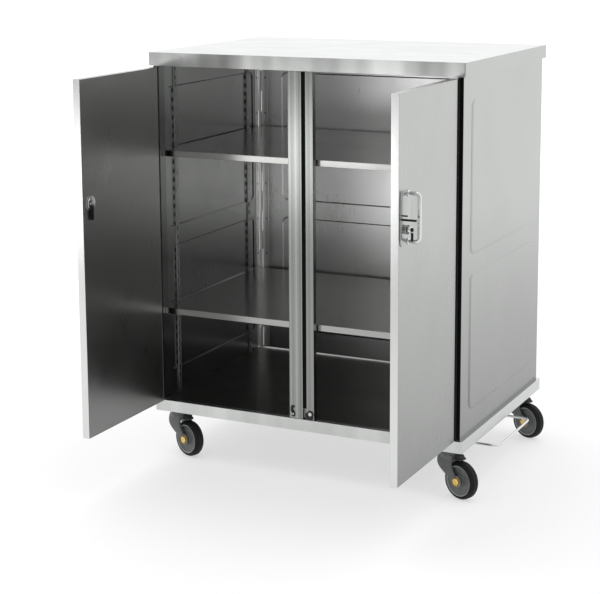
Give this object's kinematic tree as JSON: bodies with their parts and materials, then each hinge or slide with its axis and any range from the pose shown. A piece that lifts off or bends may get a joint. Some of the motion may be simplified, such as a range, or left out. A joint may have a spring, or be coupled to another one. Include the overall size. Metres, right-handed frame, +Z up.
{
  "type": "cabinet trolley",
  "caption": "Stainless-steel hospital cabinet trolley with hinged front doors, shelves, a rear door, a side tow bail and braked swivel castors.",
  "frame": {"origin": "on the floor under the centre of the whole object's box with the front doors open at 90 degrees", "axes": "+Z up; the front with its two open doors faces -Y; +X is to the right seen from the front"},
  "size_m": [0.9468, 1.037, 1.13],
  "materials": {
    "brushed_steel": "fine brushed stainless sheet",
    "polished_steel": "bright polished stainless",
    "dull_steel": "dull zinc-plated steel",
    "black_plastic": "moulded black nylon",
    "grey_housing": "satin grey",
    "tyre": "dark ribbed rubber",
    "grey_hub": "grey moulded wheel centre",
    "seal_rubber": "black seal"
  },
  "bodies": {
    "cabinet": {"top_slab": "brushed_steel", "base_tray": "brushed_steel", "top_liner": "brushed_steel", "left_side_panel": "brushed_steel", "right_side_panel": "brushed_steel", "left_front_post": "polished_steel", "right_front_post": "polished_steel", "mullion": "polished_steel", "upper_shelf": "polished_steel", "lower_shelf": "polished_steel", "left_hinge_fixed_leaf": "polished_steel", "left_hinge_pin": "polished_steel", "right_hinge_fixed_leaf": "polished_steel", "right_hinge_pin": "polished_steel", "rear_hinge_fixed_leaf": "polished_steel", "rear_hinge_pin": "polished_steel", "right_catch_plunger": "polished_steel", "left_front_shelf_strip": "dull_steel", "left_rear_shelf_strip": "dull_steel", "right_front_shelf_strip": "dull_steel", "right_rear_shelf_strip": "dull_steel", "front_castor_channel": "dull_steel", "rear_castor_channel": "dull_steel", "left_hinge_seal": "seal_rubber", "right_hinge_seal": "seal_rubber", "right_catch_case": "black_plastic", "front_bail_clip": "black_plastic", "rear_bail_clip": "black_plastic"},
    "left_door": {"left_hinge_moving_leaf": "polished_steel", "left_door_pan": "brushed_steel", "left_door_back": "brushed_steel", "left_lock_housing": "polished_steel"},
    "left_lock": {"left_lock": "polished_steel"},
    "right_door": {"right_hinge_moving_leaf": "polished_steel", "right_door_pan": "brushed_steel", "right_door_back": "brushed_steel", "handle_escutcheon": "polished_steel", "handle_grip": "polished_steel"},
    "right_lock": {"right_lock": "polished_steel"},
    "rear_door": {"rear_hinge_moving_leaf": "polished_steel", "rear_door_panel": "brushed_steel"},
    "rear_latch": {"rear_latch": "dull_steel"},
    "turn_button": {"left_turn_button": "black_plastic"},
    "tow_bail": {"tow_bail": "polished_steel"},
    "front_left_swivel": {"front_left_fork": "grey_housing"},
    "front_left_wheel": {"front_left_tyre": "tyre", "front_left_hub": "grey_hub"},
    "front_left_pedal": {"front_left_brake_pedal": "black_plastic"},
    "front_right_swivel": {"front_right_fork": "grey_housing"},
    "front_right_wheel": {"front_right_tyre": "tyre", "front_right_hub": "grey_hub"},
    "front_right_pedal": {"front_right_brake_pedal": "black_plastic"},
    "rear_left_swivel": {"rear_left_fork": "grey_housing"},
    "rear_left_wheel": {"rear_left_tyre": "tyre", "rear_left_hub": "grey_hub"},
    "rear_left_pedal": {"rear_left_brake_pedal": "black_plastic"},
    "rear_right_swivel": {"rear_right_fork": "grey_housing"},
    "rear_right_wheel": {"rear_right_tyre": "tyre", "rear_right_hub": "grey_hub"},
    "rear_right_pedal": {"rear_right_brake_pedal": "black_plastic"}
  },
  "joints": [
    {"name": "left_door_hinge", "type": "hinge", "parent": "cabinet", "child": "left_door", "pos_m": [-0.45137, -0.1255, 0.165], "axis": [0, 0, 1], "range_deg": [-90, 90]},
    {"name": "left_lock_turn", "type": "hinge", "parent": "left_door", "child": "left_lock", "pos_m": [-0.45137, -0.4835, 0.775], "axis": [-1, 0, 0], "range_deg": [0, 90]},
    {"name": "right_door_hinge", "type": "hinge", "parent": "cabinet", "child": "right_door", "pos_m": [0.41463, -0.1255, 0.165], "axis": [0, 0, 1], "range_deg": [-90, 90]},
    {"name": "right_lock_turn", "type": "hinge", "parent": "right_door", "child": "right_lock", "pos_m": [0.41463, -0.4835, 0.775], "axis": [-1, 0, 0], "range_deg": [0, 90]},
    {"name": "rear_door_hinge", "type": "hinge", "parent": "cabinet", "child": "rear_door", "pos_m": [-0.45537, 0.4835, 0.165], "axis": [0, 0, 1], "range_deg": [0, 90]},
    {"name": "rear_latch_turn", "type": "hinge", "parent": "rear_door", "child": "rear_latch", "pos_m": [0.37713, 0.4945, 0.775], "axis": [0, -1, 0], "range_deg": [0, 90]},
    {"name": "turn_button_turn", "type": "hinge", "parent": "cabinet", "child": "turn_button", "pos_m": [-0.04437, -0.1321, 0.176], "axis": [0, -1, 0], "range_deg": [0, 90]},
    {"name": "tow_bail_hinge", "type": "hinge", "parent": "cabinet", "child": "tow_bail", "pos_m": [0.36563, 0.1935, 0.098], "axis": [0, 1, 0], "range_deg": [0, 50]},
    {"name": "front_left_swivel_turn", "type": "hinge", "parent": "cabinet", "child": "front_left_swivel", "pos_m": [-0.42237, -0.0835, 0.116], "axis": [0, 0, 1], "continuous": true},
    {"name": "front_left_wheel_roll", "type": "hinge", "parent": "front_left_swivel", "child": "front_left_wheel", "pos_m": [-0.38343, -0.09923, 0.05], "axis": [0.3746, 0.9272, 0], "continuous": true},
    {"name": "front_left_brake_press", "type": "hinge", "parent": "front_left_swivel", "child": "front_left_pedal", "pos_m": [-0.39641, -0.09399, 0.108], "axis": [0.3746, 0.9272, 0], "range_deg": [0, 7]},
    {"name": "front_right_swivel_turn", "type": "hinge", "parent": "cabinet", "child": "front_right_swivel", "pos_m": [0.38563, -0.0835, 0.116], "axis": [0, 0, 1], "continuous": true},
    {"name": "front_right_wheel_roll", "type": "hinge", "parent": "front_right_swivel", "child": "front_right_wheel", "pos_m": [0.42457, -0.09923, 0.05], "axis": [0.3746, 0.9272, 0], "continuous": true},
    {"name": "front_right_brake_press", "type": "hinge", "parent": "front_right_swivel", "child": "front_right_pedal", "pos_m": [0.41159, -0.09399, 0.108], "axis": [0.3746, 0.9272, 0], "range_deg": [0, 7]},
    {"name": "rear_left_swivel_turn", "type": "hinge", "parent": "cabinet", "child": "rear_left_swivel", "pos_m": [-0.42237, 0.4705, 0.116], "axis": [0, 0, 1], "continuous": true},
    {"name": "rear_left_wheel_roll", "type": "hinge", "parent": "rear_left_swivel", "child": "rear_left_wheel", "pos_m": [-0.38343, 0.45477, 0.05], "axis": [0.3746, 0.9272, 0], "continuous": true},
    {"name": "rear_left_brake_press", "type": "hinge", "parent": "rear_left_swivel", "child": "rear_left_pedal", "pos_m": [-0.39641, 0.46001, 0.108], "axis": [0.3746, 0.9272, 0], "range_deg": [0, 7]},
    {"name": "rear_right_swivel_turn", "type": "hinge", "parent": "cabinet", "child": "rear_right_swivel", "pos_m": [0.38563, 0.4705, 0.116], "axis": [0, 0, 1], "continuous": true},
    {"name": "rear_right_wheel_roll", "type": "hinge", "parent": "rear_right_swivel", "child": "rear_right_wheel", "pos_m": [0.42457, 0.45477, 0.05], "axis": [0.3746, 0.9272, 0], "continuous": true},
    {"name": "rear_right_brake_press", "type": "hinge", "parent": "rear_right_swivel", "child": "rear_right_pedal", "pos_m": [0.41159, 0.46001, 0.108], "axis": [0.3746, 0.9272, 0], "range_deg": [0, 7]}
  ]
}
